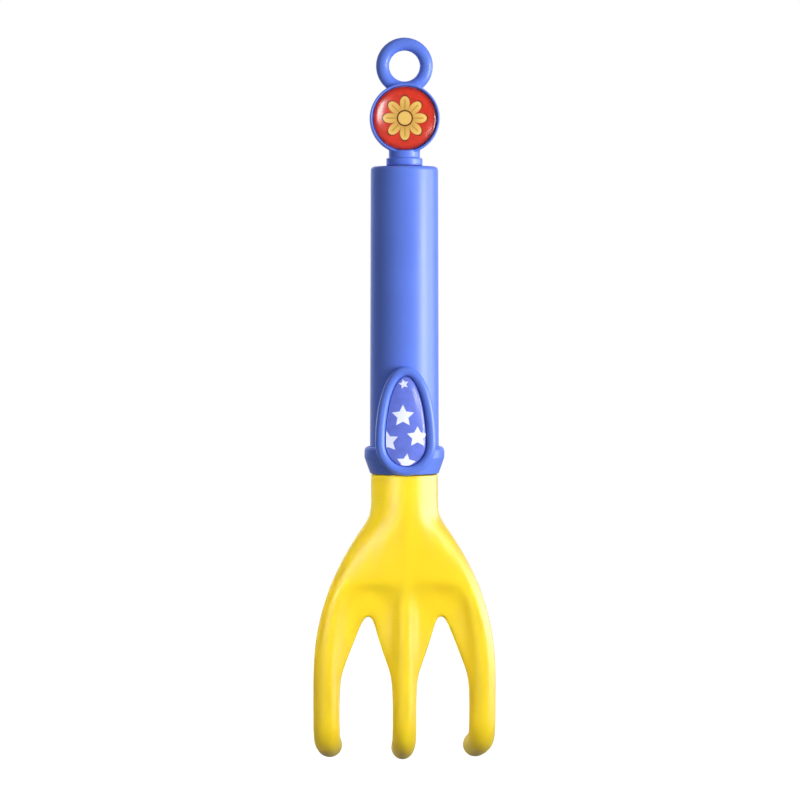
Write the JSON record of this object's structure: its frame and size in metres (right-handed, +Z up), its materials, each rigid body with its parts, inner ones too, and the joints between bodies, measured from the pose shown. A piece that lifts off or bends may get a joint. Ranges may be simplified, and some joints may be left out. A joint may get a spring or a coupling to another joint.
{
  "type": "kids hand cultivator",
  "caption": "Child-size hand cultivator: round plastic grip with a hanging ring and domed medallion, a collar with an egg-shaped badge, and a hooked claw head.",
  "frame": {"origin": "middle of the hanging ring's hole, where a hook or peg carries the tool", "axes": "+Z up along the grip as the tool hangs, -Y towards the side with the badges, +Y the way the tine tips hook, X across the tines"},
  "size_m": [0.0622, 0.0376, 0.2482],
  "materials": {
    "blue_plastic": "satin moulded plastic",
    "yellow_plastic": "satin moulded plastic",
    "red_print": "printed film",
    "star_print": "printed film",
    "clear_resin": "poured clear resin",
    "zinc_plate": "zinc-plated steel"
  },
  "bodies": {
    "root": {"hanger_cap": "blue_plastic", "medallion_print": "red_print", "medallion_dome": "clear_resin", "grip_tube": "blue_plastic", "collar_frame": "blue_plastic", "badge_print": "star_print", "badge_dome": "clear_resin", "tine_head": "yellow_plastic", "tang_screw": "zinc_plate"}
  },
  "joints": []
}
